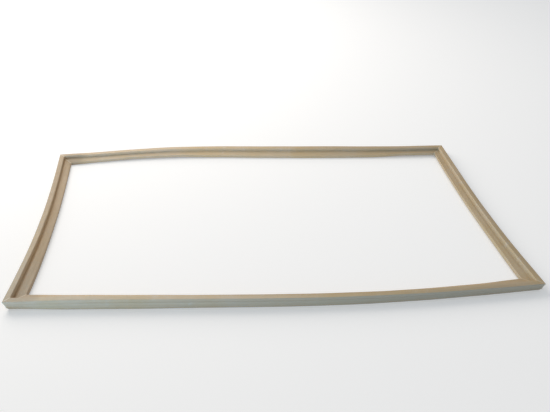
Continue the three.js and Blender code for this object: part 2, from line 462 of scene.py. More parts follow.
@dataclass(frozen=True)
class FramePath:
    """The path of the outer edge of the magnet face round the frame, in millimetres."""

    length: float = 1080.0
    width: float = 565.0
    step: float = 10.0
    weld_offsets: tuple[float, ...] = (0.0, 0.5, 1.1, 2.0, 4.0, 8.0, 14.0)
    weld_reach: float = 1.8
    magnet_gap: float = 25.7
    strip_blur: float = 3.0
    mitre_reach: float = 140.0
    frame_centre: tuple[float, float] = (0.0, 2.71)
    corner_feet: tuple[tuple[float, float], ...] = ((6.0, 0.0), (-4.0, 2.0), (0.0, 0.0), (0.0, 0.0))
    shapes: tuple[SideShape, ...] = (
        SideShape(
            waves=(17.0, -4.0),
            feet=(-3.5, -4.0, -2.5, -2.5, -2.0, -0.5, 1.0),
            drops=(1.0, 3.0, 3.0, 3.0, 2.5, 2.0, 1.5, 1.0, 0.0),
            curls=(3.0, 2.5, 1.0, 0.0, 0.0, 0.0, 0.0, 0.0, 3.0),
            tucks=(0.0, 0.0, 0.0, 1.5, 4.0, 5.0, 4.0, 3.0, 2.0),
            pulls=(0.8, 0.1, 0.1, 0.3, 0.8),
        ),
        SideShape(
            waves=(-9.5, -1.0),
            drops=(0.0, -0.5, 0.0),
            tilts=(0.0, 3.0, 0.0),
            curls=(3.0, 3.0, 3.0, 4.0, 5.0),
            tucks=(2.0, 4.0, 3.0, 3.0, 4.0),
            pulls=(0.8, 0.0, 0.0),
        ),
        SideShape(
            waves=(20.5, -10.0, 1.5),
            drops=(0.0, -1.0, 0.0, 1.0, 0.5, 0.0, 0.0, -0.5, -2.0, -3.0, -0.5),
            tilts=(0.0, -3.0, -7.0, -8.0, -5.0, -1.0, 2.0),
            curls=(5.0, 5.0, 1.0, 0.0, 0.0, 0.0, 1.0, 3.0, 3.0, 1.0, 0.0),
            tucks=(4.0, 3.0, 0.0, 0.0, 0.0, 0.0, 1.0, 3.0, 3.0, 1.0, 0.0),
        ),
        SideShape(
            waves=(-13.5, 1.0),
            drops=(-0.5, 0.5, 1.0),
            tilts=(-6.0, -9.0, -7.0, 0.0, 8.0, 0.0),
            curls=(0.0, 1.0, 2.0, 3.0),
            pulls=(0.0, 0.0, 0.8),
        ),
    )

    def corners(self) -> list[Vector]:
        """The four corners, counterclockwise from the near left one."""
        x, y = self.length / 2, self.width / 2
        return [Vector(p) for p in ((-x, -y), (x, -y), (x, y), (-x, y))]

    def spot(self, side: int, share: float) -> Vector:
        """A point of one side.

        Args:
            side: the side's number, counterclockwise from the near one.
            share: the place between its first corner, 0, and its last, 1.

        Returns:
            The point, before the frame is centred.
        """
        corners = self.corners()
        start, end = corners[side], corners[(side + 1) % 4]
        run = end - start
        outwards = Vector((run.y, -run.x)).normalized()
        waves = self.shapes[side].waves
        stand = sum(a * math.sin((k + 1) * math.pi * share) for k, a in enumerate(waves))
        return start + run * share + outwards * stand

    def tangent(self, side: int, share: float) -> Vector:
        """The direction of travel at a point of one side."""
        small = 1e-4
        low, high = max(share - small, 0.0), min(share + small, 1.0)
        return (self.spot(side, high) - self.spot(side, low)).normalized()

    def inwards(self, side: int, share: float) -> Vector:
        """The direction straight across a side, towards the middle of the frame."""
        tangent = self.tangent(side, share)
        return Vector((-tangent.y, tangent.x))

    @property
    def centre(self) -> Vector:
        """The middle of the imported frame's box, whose near side bows out a little more than this one."""
        return Vector(self.frame_centre)

    def side_length(self, side: int) -> float:
        """The straight distance between the corners of a side."""
        return self.length if side % 2 == 0 else self.width

    def shares(self, side: int) -> list[float]:
        """Places of the rings on one side, close together at its welded ends, without its last corner."""
        length = self.side_length(side)
        near = [d / length for d in self.weld_offsets]
        far = [1 - share for share in reversed(near)]
        count = round((far[0] - near[-1]) * length / self.step)
        middle = [near[-1] + (far[0] - near[-1]) * k / count for k in range(1, count)]
        return near + middle + far[:-1]

    def half_turn(self, corner: int) -> float:
        """The tangent of half the angle that the path turns by at a corner."""
        arriving = self.tangent((corner - 1) % 4, 1.0)
        leaving = self.tangent(corner, 0.0)
        return math.tan(arriving.angle(leaving) / 2)

    def foot(self, side: int, share: float) -> Vector:
        """Where the foot of a side stands, seen from the edge of its magnet face, over the normal section."""
        corners = self.corners()
        run = corners[(side + 1) % 4] - corners[side]
        inwards = Vector((-run.y, run.x)).normalized()
        first, last = Vector(self.corner_feet[side]), Vector(self.corner_feet[(side + 1) % 4])
        middle = tuple(inwards * value for value in self.shapes[side].feet)
        return smooth_between((first, *middle, last), share)

    def station(self, side: int, share: float) -> Station:
        """Everything that the sweep needs at one place.

        Args:
            side: the side's number, counterclockwise from the near one.
            share: the place between its first corner, 0, and its last, 1.

        Returns:
            The station, seen from the middle of the frame.
        """
        length, shape = self.side_length(side), self.shapes[side]
        tangent = self.tangent(side, share)
        from_start, from_end = share * length, (1 - share) * length
        fan = self.half_turn(side) * max(0.0, 1 - from_start / self.mitre_reach)
        fan -= self.half_turn((side + 1) % 4) * max(0.0, 1 - from_end / self.mitre_reach)
        nearest = min(from_start, from_end)
        return Station(
            side=side,
            share=share,
            spot=self.spot(side, share) - self.centre,
            mitre=self.inwards(side, share) + tangent * fan,
            foot=self.foot(side, share),
            drop=smooth_between(shape.drops, share),
            tilt=math.radians(smooth_between(shape.tilts, share)),
            curl=smooth_between(shape.curls, share),
            tuck=smooth_between(shape.tucks, share),
            pull=smooth_between(shape.pulls, share),
            weld=max(0.0, 1 - nearest / self.weld_reach),
            strip=smooth_step(nearest, self.magnet_gap, self.magnet_gap + self.strip_blur),
        )

    def stations(self) -> list[Station]:
        """The stations of the closed path, counterclockwise from the near left corner."""
        return [self.station(side, share) for side in range(4) for share in self.shares(side)]

    def strip_stations(self, side: int) -> list[Station]:
        """The stations of one magnet strip, from end to end."""
        length = self.side_length(side)
        first = self.magnet_gap / length
        count = round(length / self.step)
        shares = [first + (1 - 2 * first) * k / count for k in range(count + 1)]
        rings = [self.station(side, share) for share in shares]
        return [replace(ring, mitre=self.inwards(side, ring.share)) for ring in rings]


class NodeTree:
    """A node tree that adds nodes and joins their sockets."""

    def __init__(self, tree: bpy.types.NodeTree) -> None:
        """Keeps the tree and starts the columns that new nodes are laid out in."""
        self.tree = tree
        self.count = 0

    def add(self, kind: str, **settings: object) -> bpy.types.Node:
        """Adds one node.

        Args:
            kind: the node's type.
            settings: properties of the node, by name.

        Returns:
            The new node.
        """
        node = self.tree.nodes.new(kind)
        for name, value in settings.items():
            setattr(node, name, value)
        across, down = self.count % NODE_COLUMNS, self.count // NODE_COLUMNS
        node.location = (NODE_STEP[0] * across, -NODE_STEP[1] * down)
        self.count += 1
        return node

    def join(self, value: object, socket: Socket) -> None:
        """Links a socket to another, or sets it to a plain value."""
        if isinstance(value, Socket):
            self.tree.links.new(value, socket)
        else:
            socket.default_value = value

    def wire(self, kind: str, inputs: dict[Any, object], output: Any = 0, **settings: object) -> Socket:
        """Adds one node and joins its inputs.

        Args:
            kind: the node's type.
            inputs: a socket or plain value for each input, by the input's name or number.
            output: the name or number of the output that is wanted.
            settings: properties of the node, by name.

        Returns:
            The socket of that output.
        """
        node = self.add(kind, **settings)
        for key, value in inputs.items():
            self.join(value, node.inputs[key])
        return node.outputs[output]

    def math(self, operation: str, *values: object, clamp: bool = False) -> Socket:
        """Adds a math node.

        Args:
            operation: the operation's name.
            values: its inputs, as sockets or numbers.
            clamp: whether the result is kept between 0 and 1.

        Returns:
            The socket of the result.
        """
        return self.wire("ShaderNodeMath", dict(enumerate(values)), operation=operation, use_clamp=clamp)

    def split(self, vector: Socket) -> bpy.types.NodeOutputs:
        """Takes a vector apart into the sockets of its three numbers."""
        node = self.add("ShaderNodeSeparateXYZ")
        self.join(vector, node.inputs[0])
        return node.outputs


class GeometryTree(NodeTree):
    """A Geometry Nodes tree with named inputs, which ends in real geometry of one material."""

    def __init__(self, name: str, sockets: dict[str, str]) -> None:
        """Starts the tree.

        Args:
            name: the tree's name.
            sockets: the type of each input, by the input's name; the material comes last by itself.
        """
        super().__init__(bpy.data.node_groups.new(name, "GeometryNodeTree"))
        interface = self.tree.interface
        interface.new_socket("Geometry", in_out="INPUT", socket_type="NodeSocketGeometry")
        self.identifiers = {}
        for label, kind in (*sockets.items(), ("Material", "NodeSocketMaterial")):
            made = interface.new_socket(label, in_out="INPUT", socket_type=kind)
            self.identifiers[label] = made.identifier
        interface.new_socket("Geometry", in_out="OUTPUT", socket_type="NodeSocketGeometry")
        self.out = self.add("NodeGroupInput").outputs

    def end(self, mesh: Socket) -> None:
        """Ends the tree: makes the mesh real and gives it the material."""
        real = self.wire("GeometryNodeRealizeInstances", {"Geometry": mesh})
        dressed = self.wire("GeometryNodeSetMaterial", {"Geometry": real, "Material": self.out["Material"]})
        self.join(dressed, self.add("NodeGroupOutput").inputs[0])

    def run(self, piece: Piece, name: str, values: dict[str, object]) -> Piece:
        """Puts a piece through the tree.

        Args:
            piece: what goes into the tree, which is removed.
            name: the new piece's name.
            values: the tree's inputs, by name.

        Returns:
            The new piece as a plain mesh, at the origin and without modifiers.
        """
        modifier = piece.modifiers.new(self.tree.name, "NODES")
        modifier.node_group = self.tree
        for label, value in values.items():
            modifier[self.identifiers[label]] = value
        graph = bpy.context.evaluated_depsgraph_get()
        mesh = bpy.data.meshes.new_from_object(piece.evaluated_get(graph))
        mesh.name = name
        made = new_object(name, mesh)
        bpy.data.objects.remove(piece)
        return made


def new_object(name: str, data: bpy.types.ID) -> Piece:
    """Makes an object at the origin and puts it in the scene."""
    made = bpy.data.objects.new(name, data)
    bpy.context.scene.collection.objects.link(made)
    return made


def point_object(name: str, spots: list[Vector], numbers: dict[str, list[float]],
                 vectors: dict[str, list[Vector]]) -> Piece:
    """Makes a hidden helper of loose points that carry named values.

    Args:
        name: the helper's name.
        spots: the points.
        numbers: a number for each point, by the attribute's name.
        vectors: a vector for each point, by the attribute's name.

    Returns:
        The helper object.
    """
    mesh = bpy.data.meshes.new(name)
    mesh.from_pydata([tuple(p) for p in spots], [], [])
    for label, values in numbers.items():
        mesh.attributes.new(label, "FLOAT", "POINT").data.foreach_set("value", values)
    for label, values in vectors.items():
        flat = [c for v in values for c in v]
        mesh.attributes.new(label, "FLOAT_VECTOR", "POINT").data.foreach_set("vector", flat)
    return new_object(name, mesh)


def outline_normals(outline: list[Vector]) -> list[Vector]:
    """Outward directions of a counterclockwise outline at its points."""
    normals = []
    for i in range(len(outline)):
        run = outline[(i + 1) % len(outline)] - outline[i - 1]
        normals.append(Vector((run.y, -run.x, 0.0)).normalized())
    return normals


class SweepTree(GeometryTree):
    """Carries a section along the frame's path."""

    numbers = (
        "Crest Height", "Tilt Pivot Inwards", "Tilt Pivot Height", "Weld Swell", "Wave Size", "Wave Scale",
    )
    counts = ("Path Points", "Rows", "Section Points")
    ring_vectors = ("position", "mitre", "foot")
    ring_numbers = ("drop", "tilt", "curl", "tuck", "pull", "weld", "strip")
    turn_vectors = ("position", "facing")
    turn_numbers = ("crest", "wing", "fold", "face", "wall", "slack")
    seam_distance = 0.01 * MM

    def __init__(self) -> None:
        """Builds the tree once, for every swept piece."""
        sockets = dict.fromkeys(("Path", "Section"), "NodeSocketObject")
        sockets |= dict.fromkeys(self.counts, "NodeSocketInt")
        sockets |= dict.fromkeys(self.numbers, "NodeSocketFloat")
        super().__init__("profile_sweep", sockets)
        columns = self.math("ADD", self.out["Section Points"], 1)
        grid = self.add("GeometryNodeMeshGrid")
        self.join(self.out["Rows"], grid.inputs["Vertices X"])
        self.join(columns, grid.inputs["Vertices Y"])
        index = self.wire("GeometryNodeInputIndex", {})
        row = self.math("FLOOR", self.math("DIVIDE", self.math("ADD", index, 0.5), columns))
        column = self.math("SUBTRACT", index, self.math("MULTIPLY", row, columns))
        ring_index = self.math("MODULO", row, self.out["Path Points"])
        turn_index = self.math("MODULO", column, self.out["Section Points"])
        ring = self._read(self.out["Path"], ring_index, self.ring_vectors, self.ring_numbers)
        turn = self._read(self.out["Section"], turn_index, self.turn_vectors, self.turn_numbers)
        spot = self._placed(ring, *self._shaped(ring, turn))
        mesh = self.wire("GeometryNodeSetPosition", {"Geometry": grid.outputs["Mesh"], "Position": spot})
        mesh = self._store(mesh, "FLOAT2", "CORNER", "UVMap", grid.outputs["UV Map"])
        band = self.math("MULTIPLY", ring["strip"], turn["face"])
        # The fold, wall and band values carry painted shade; the weld value marks the welds.
        weld_and_shade_marks = {"weld": ring["weld"], "fold": turn["fold"], "wall": turn["wall"], "band": band}
        for name, value in weld_and_shade_marks.items():
            mesh = self._store(mesh, "FLOAT", "POINT", name, value)
        seam = {"Geometry": mesh, "Distance": self.seam_distance}
        mesh = self.wire("GeometryNodeMergeByDistance", seam)
        self.end(self.wire("GeometryNodeSetShadeSmooth", {"Geometry": mesh}))

    def _shaped(self, ring: dict[str, Socket], turn: dict[str, Socket]) -> tuple[Socket, Socket]:
        """Bends one section to its ring's tilt, drop and curl.

        Args:
            ring: the ring's values.
            turn: the section point's values.

        Returns:
            The point's place inwards of the path and its height.
        """
        out, crest, wing = self.out, turn["crest"], turn["wing"]
        place, facing = self.split(turn["position"]), self.split(turn["facing"])
        swell = self.math("MULTIPLY", ring["weld"], out["Weld Swell"])
        inwards = self.math("MULTIPLY_ADD", facing[0], swell, place[0])
        pulled = self.math("MULTIPLY", ring["pull"], turn["slack"])
        tucked = self.math("MULTIPLY", ring["tuck"], wing)
        inwards = self.math("SUBTRACT", inwards, self.math("ADD", pulled, tucked))
        height = self.math("MULTIPLY_ADD", facing[1], swell, place[1])
        angle = self.math("MULTIPLY", ring["tilt"], crest)
        cosine, sine = self.math("COSINE", angle), self.math("SINE", angle)
        arm = self.math("SUBTRACT", inwards, out["Tilt Pivot Inwards"])
        rise = self.math("SUBTRACT", height, out["Tilt Pivot Height"])
        across = self.math("SUBTRACT", self.math("MULTIPLY", arm, cosine), self.math("MULTIPLY", rise, sine))
        upright = self.math("MULTIPLY_ADD", arm, sine, self.math("MULTIPLY", rise, cosine))
        inwards = self.math("ADD", across, out["Tilt Pivot Inwards"])
        height = self.math("ADD", upright, out["Tilt Pivot Height"])
        height = self.math("MULTIPLY_ADD", ring["drop"], crest, height)
        height = self.math("MULTIPLY_ADD", ring["curl"], wing, height)
        pattern = {"Vector": ring["position"], "Scale": out["Wave Scale"], "Detail": 1.0}
        waves = self.split(self.wire("ShaderNodeTexNoise", pattern, "Color", noise_dimensions="3D"))
        sideways, upwards = (
            self.math("MULTIPLY", self.math("SUBTRACT", wave, 0.5), out["Wave Size"]) for wave in waves[:2]
        )
        inwards = self.math("MULTIPLY_ADD", sideways, crest, inwards)
        height = self.math("MULTIPLY_ADD", upwards, crest, height)
        return inwards, self.math("MAXIMUM", height, 0.0)

    def _placed(self, ring: dict[str, Socket], inwards: Socket, height: Socket) -> Socket:
        """Carries a bent section point to its ring.

        Args:
            ring: the ring's values.
            inwards: the point's place inwards of the path.
            height: its height.

        Returns:
            The socket of the point's place in space.
        """
        lowness = self.math("SUBTRACT", 1.0, self.math("DIVIDE", height, self.out["Crest Height"]))
        total = ring["position"]
        for direction, reach in ((ring["mitre"], inwards), (ring["foot"], lowness)):
            part = self.wire("ShaderNodeVectorMath", {0: direction, "Scale": reach}, operation="SCALE")
            total = self.wire("ShaderNodeVectorMath", {0: total, 1: part}, operation="ADD")
        level = self.wire("ShaderNodeCombineXYZ", {"Z": height})
        return self.wire("ShaderNodeVectorMath", {0: total, 1: level}, operation="ADD")

    def _read(self, helper: Socket, index: Socket, vectors: tuple[str, ...],
              numbers: tuple[str, ...]) -> dict[str, Socket]:
        """Reads the values of one point of a helper.

        Args:
            helper: the helper object.
            index: which of its points.
            vectors: the names of the vectors that it carries; the position is one of them.
            numbers: the names of the numbers that it carries.

        Returns:
            The socket of each value, by name.
        """
        points = self.wire("GeometryNodeObjectInfo", {"Object": helper}, "Geometry")
        kinds = dict.fromkeys(vectors, "FLOAT_VECTOR") | dict.fromkeys(numbers, "FLOAT")
        values = {}
        for name, kind in kinds.items():
            if name == "position":
                value = self.wire("GeometryNodeInputPosition", {})
            else:
                value = self.wire("GeometryNodeInputNamedAttribute", {"Name": name}, data_type=kind)
            wires = {"Geometry": points, "Value": value, "Index": index}
            values[name] = self.wire("GeometryNodeSampleIndex", wires, data_type=kind, domain="POINT")
        return values

    def _store(self, mesh: Socket, kind: str, domain: str, name: str, value: Socket) -> Socket:
        """Stores a value on the mesh under a name, and returns the mesh."""
        wires = {"Geometry": mesh, "Name": name, "Value": value}
        return self.wire("GeometryNodeStoreNamedAttribute", wires, data_type=kind, domain=domain)


class VentTree(GeometryTree):
    """Cuts an upright round hole at each of some points."""

    def __init__(self, sides: int) -> None:
        """Builds the tree, with drills of that many sides."""
        sockets = {"Middles": "NodeSocketObject", "Radius": "NodeSocketFloat", "Length": "NodeSocketFloat"}
        super().__init__("vent_holes", sockets)
        middles = self.wire("GeometryNodeObjectInfo", {"Object": self.out["Middles"]}, "Geometry")
        sizes = {"Vertices": sides, "Radius": self.out["Radius"], "Depth": self.out["Length"]}
        drill = self.wire("GeometryNodeMeshCylinder", sizes)
        drills = self.wire("GeometryNodeInstanceOnPoints", {"Points": middles, "Instance": drill})
        real = self.wire("GeometryNodeRealizeInstances", {"Geometry": drills})
        solids = {"Mesh 1": self.out["Geometry"], "Mesh 2": real}
        self.end(self.wire("GeometryNodeMeshBoolean", solids, operation="DIFFERENCE", solver="EXACT"))


@dataclass(frozen=True)
class Grain:
    """A noise pattern: how fine it is, how many finer layers it has and how strong they are."""

    scale: float
    detail: float = 2.0
    roughness: float = 0.5


@dataclass(frozen=True)
class Spread:
    """Two limits of a value, and the range that what lies between them is spread over."""

    low: float
    high: float
    start: float = 0.0
    end: float = 1.0


class ShaderTree(NodeTree):
    """A material's node tree, with the helpers that its patterns need."""

    def __init__(self, name: str) -> None:
        """Makes the material."""
        self.material = bpy.data.materials.new(name)
        self.material.use_nodes = True
        super().__init__(self.material.node_tree)
        self.shader = self.tree.nodes["Principled BSDF"]
        self.spot = self.wire("ShaderNodeTexCoord", {}, "Object")
        self.lay = self.wire("ShaderNodeUVMap", {}, "UV", uv_map="UVMap")

    def dress(self, values: dict[str, object]) -> None:
        """Joins or sets inputs of the shader, by name."""
        for name, value in values.items():
            self.join(value, self.shader.inputs[name])

    def stretched(self, source: Socket, scale: Triple) -> Socket:
        """Scales a pattern's coordinates."""
        return self.wire("ShaderNodeMapping", {"Vector": source, "Scale": scale}, "Vector")

    def noise(self, source: Socket, grain: Grain) -> Socket:
        """Adds a noise pattern on some coordinates, and returns its value."""
        numbers = {"Scale": grain.scale, "Detail": grain.detail, "Roughness": grain.roughness}
        return self.wire("ShaderNodeTexNoise", {"Vector": source} | numbers)

    def ramp(self, value: Socket, spread: Spread) -> Socket:
        """Spreads the part of a value between two limits over another range, smoothly."""
        inputs = {
            "Value": value,
            "From Min": spread.low,
            "From Max": spread.high,
            "To Min": spread.start,
            "To Max": spread.end,
        }
        return self.wire("ShaderNodeMapRange", inputs, "Result", interpolation_type="SMOOTHSTEP")

    def blend(self, share: Any, first: Any, second: Any, mode: str = "MIX") -> Socket:
        """Mixes two colours.

        Args:
            share: how much of the second shows.
            first: the colour below, as a socket or three numbers.
            second: the colour on top.
            mode: how they mix.

        Returns:
            The mixed colour.
        """
        below, above = ((*c, 1.0) if isinstance(c, tuple) else c for c in (first, second))
        colours = {"Factor": share, 6: below, 7: above}
        return self.wire("ShaderNodeMix", colours, 2, data_type="RGBA", blend_type=mode)

    def grey(self, value: Socket) -> Socket:
        """Makes a grey of a brightness."""
        return self.wire("ShaderNodeCombineColor", {0: value, 1: value, 2: value})

    def attribute(self, name: str) -> Socket:
        """Reads a value that the mesh carries."""
        return self.wire("ShaderNodeAttribute", {}, "Fac", attribute_name=name)

    def bump(self, height: Socket, depth: float, below: Socket | None = None) -> Socket:
        """Adds a bump of a depth in metres, over another one if there is one."""
        wires = {"Distance": depth, "Height": height} | ({"Normal": below} if below else {})
        return self.wire("ShaderNodeBump", wires, "Normal")


@dataclass(frozen=True)
class PvcFinish:
    """Cream soft PVC, yellowed with age, with die lines along the extrusion; painted shade, with some grime,
    in the folds, and painted shade on the outer walls and at the left end.
    """

    # Colours
    colour: Triple = (0.455, 0.36, 0.248)
    yellowed: Triple = (0.44, 0.33, 0.19)
    chalky: Triple = (0.485, 0.42, 0.33)
    grime_and_fold_shade: Triple = (0.32, 0.185, 0.085)
    weld: Triple = (0.66, 0.58, 0.46)
    dust_and_wall_shade: Triple = (0.33, 0.305, 0.24)
    left_end_shade: Triple = (0.20, 0.14, 0.08)
    magnet_shadow: Triple = (0.2, 0.19, 0.17)
    # Patterns
    line_scale: Triple = (9.0, 210.0, 1.0)
    fine_line_scale: Triple = (5.0, 900.0, 1.0)
    lines: Grain = Grain(1.0, 3.0)
    fine_lines: Grain = Grain(1.0)
    blotch: Grain = Grain(9.0, 4.0, 0.55)
    mottle: Grain = Grain(55.0, 4.0, 0.6)
    pores: Grain = Grain(900.0, 2.0, 0.6)
    smudge: Grain = Grain(26.0, 3.0, 0.6)
    specks: Grain = Grain(420.0, 1.0)
    # How far the patterns show, and how far the painted shade on the outer walls, at the left end and in the
    # folds shows from the left end to the right one
    blotched: Spread = Spread(0.3, 0.72)
    chalked: Spread = Spread(0.52, 0.78, 0.0, 0.55)
    streaked: Spread = Spread(0.3, 0.7, 0.93, 1.05)
    smudged: Spread = Spread(0.3, 0.75, 0.55, 1.0)
    specked: Spread = Spread(0.74, 0.80, 0.0, 0.35)
    fold_shade_left_end: Spread = Spread(-0.515, -0.475, 1.0, 0.3)
    dusted_and_wall_shaded: Spread = Spread(-0.5, 0.4, 0.03, 0.92)
    left_end_shading: Spread = Spread(-0.49, -0.46, 0.36, 0.0)
    grime_and_fold_shade_strength: float = 0.45
    aging: float = 0.9
    magnet_share: float = 0.05
    weld_share: float = 0.7
    # Gloss, relief and depth
    dullness: Spread = Spread(0.3, 0.7, 0.50, 0.62)
    fold_dullness: float = 0.22
    weld_dullness: float = -0.12
    swollen: Spread = Spread(0.2, 0.8)
    swelling_depth: float = 0.0006
    line_depth: float = 0.00022
    fine_line_depth: float = 0.00005
    pore_depth: float = 0.00003
    subsurface: float = 0.12
    subsurface_radius: Triple = (1.0, 0.7, 0.45)
    subsurface_depth: float = 0.004
    specular: float = 0.40

    def material(self) -> bpy.types.Material:
        """Builds the material.

        Returns:
            The material, which reads the piece's UV map and its fold, weld, wall and band attributes.
        """
        nodes = ShaderTree("cream_pvc")
        lines = nodes.noise(nodes.stretched(nodes.lay, self.line_scale), self.lines)
        fine = nodes.noise(nodes.stretched(nodes.lay, self.fine_line_scale), self.fine_lines)
        blotch, mottle, pores, smudge, specks = (
            nodes.noise(nodes.spot, grain)
            for grain in (self.blotch, self.mottle, self.pores, self.smudge, self.specks)
        )
        fold, weld, wall, band = (nodes.attribute(name) for name in ("fold", "weld", "wall", "band"))
        along = nodes.split(nodes.spot)[0]
        aged = nodes.math("MULTIPLY_ADD", along, self.aging, nodes.ramp(blotch, self.blotched), clamp=True)
        colour = nodes.blend(aged, self.colour, self.yellowed)
        colour = nodes.blend(nodes.ramp(mottle, self.chalked), colour, self.chalky)
        colour = nodes.blend(1.0, colour, nodes.grey(nodes.ramp(lines, self.streaked)), "MULTIPLY")
        colour = nodes.blend(nodes.math("MULTIPLY", band, self.magnet_share), colour, self.magnet_shadow)
        # Painted shade: the outer walls are painted darker, more towards the right end.
        colour = nodes.blend(nodes.math("MULTIPLY", wall, nodes.ramp(along, self.dusted_and_wall_shaded)), colour, self.dust_and_wall_shade)
        # Painted shade: the left end, apart from its outer walls, is painted darker and browner.
        left_end_shading = nodes.math("MULTIPLY", nodes.ramp(along, self.left_end_shading), nodes.math("SUBTRACT", 1.0, wall))
        colour = nodes.blend(left_end_shading, colour, self.left_end_shade)
        # Painted shade with some grime: the folds, the lip line and the underside darken, most at the left
        # end.
        grime_and_fold_shade_share = nodes.math("MULTIPLY", nodes.ramp(smudge, self.smudged), nodes.ramp(along, self.fold_shade_left_end))
        grime_and_fold_shade_share = nodes.math("MULTIPLY", nodes.math("MULTIPLY", fold, grime_and_fold_shade_share), self.grime_and_fold_shade_strength)
        colour = nodes.blend(grime_and_fold_shade_share, colour, self.grime_and_fold_shade)
        colour = nodes.blend(nodes.ramp(specks, self.specked), colour, self.grime_and_fold_shade)
        colour = nodes.blend(nodes.math("MULTIPLY", weld, self.weld_share), colour, self.weld)
        dull = nodes.math("MULTIPLY_ADD", fold, self.fold_dullness, nodes.ramp(mottle, self.dullness))
        dull = nodes.math("MULTIPLY_ADD", weld, self.weld_dullness, dull, clamp=True)
        normal = nodes.bump(nodes.ramp(blotch, self.swollen), self.swelling_depth)
        for relief, depth in (
            (lines, self.line_depth),
            (fine, self.fine_line_depth),
            (pores, self.pore_depth),
        ):
            normal = nodes.bump(relief, depth, normal)
        nodes.dress({
            "Base Color": colour,
            "Roughness": dull,
            "Normal": normal,
            "Subsurface Weight": self.subsurface,
            "Subsurface Radius": self.subsurface_radius,
            "Subsurface Scale": self.subsurface_depth,
            "Specular IOR Level": self.specular,
        })
        return nodes.material


@dataclass(frozen=True)
class MagnetFinish:
    """Dark matte rubber filled with ferrite, with a little dust on it."""

    colour: Triple = (0.040, 0.036, 0.033)
    dusty: Triple = (0.085, 0.078, 0.070)
    dust_and_wall_shade: Grain = Grain(70.0, 4.0, 0.6)
    pores: Grain = Grain(1500.0, 2.0, 0.6)
    dusted_and_wall_shaded: Spread = Spread(0.45, 0.75)
    dullness: Spread = Spread(0.3, 0.7, 0.6, 0.85)
    pore_depth: float = 0.00004

    def material(self) -> bpy.types.Material:
        """Builds the material."""
        nodes = ShaderTree("ferrite_rubber")
        dust_and_wall_shade, pores = nodes.noise(nodes.spot, self.dust_and_wall_shade), nodes.noise(nodes.spot, self.pores)
        nodes.dress({
            "Base Color": nodes.blend(nodes.ramp(dust_and_wall_shade, self.dusted_and_wall_shaded), self.colour, self.dusty),
            "Roughness": nodes.ramp(dust_and_wall_shade, self.dullness),
            "Normal": nodes.bump(pores, self.pore_depth),
        })
        return nodes.material


def merge_pieces(name: str, pieces: list[Piece]) -> Piece:
    """Joins pieces into one mesh.

    Args:
        name: the new piece's name.
        pieces: the pieces, which are removed.

    Returns:
        The new piece.
    """
    made = pieces[0]
    with bpy.context.temp_override(active_object=made, object=made, selected_editable_objects=pieces,
                                   selected_objects=pieces):
        bpy.ops.object.join()
    made.name = name
    made.data.name = name
    return made


def face_shell(piece: Piece, hollow: bool) -> None:
    """Closes the ends of a swept shell and turns its faces out of the solid.

    Args:
        piece: the swept shell.
        hollow: whether the shell is the wall of a chamber, whose faces look into the chamber.
    """
    shell = bmesh.new()
    shell.from_mesh(piece.data)
    rims = [edge for edge in shell.edges if edge.is_boundary]
    if rims:
        for cap in bmesh.ops.holes_fill(shell, edges=rims, sides=0)["faces"]:
            cap.smooth = False
    bmesh.ops.recalc_face_normals(shell, faces=shell.faces)
    if hollow:
        bmesh.ops.reverse_faces(shell, faces=shell.faces)
    shell.to_mesh(piece.data)
    shell.free()


